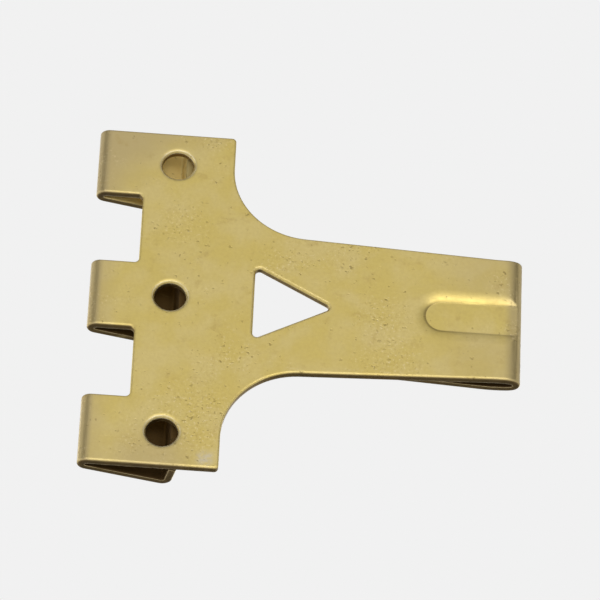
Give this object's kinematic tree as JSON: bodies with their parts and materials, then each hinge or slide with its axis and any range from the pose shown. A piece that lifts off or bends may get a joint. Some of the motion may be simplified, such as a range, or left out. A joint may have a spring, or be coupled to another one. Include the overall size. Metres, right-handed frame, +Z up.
{
  "type": "picture hook",
  "caption": "One-piece folded sheet picture hook with a crossbar of nail guide tabs, a tapering stem with a triangular window, and a grooved hanging arm.",
  "frame": {"origin": "centre of the middle nail hole on the face that lies on the wall", "axes": "+Z up as it hangs, +X across the crossbar, +Y into the wall"},
  "size_m": [0.04, 0.0039, 0.0445],
  "materials": {
    "brass_plated_steel": "thin brass plating on pressed steel, satin and lightly worn"
  },
  "bodies": {
    "root": {"picture_hook": "brass_plated_steel"}
  },
  "joints": []
}
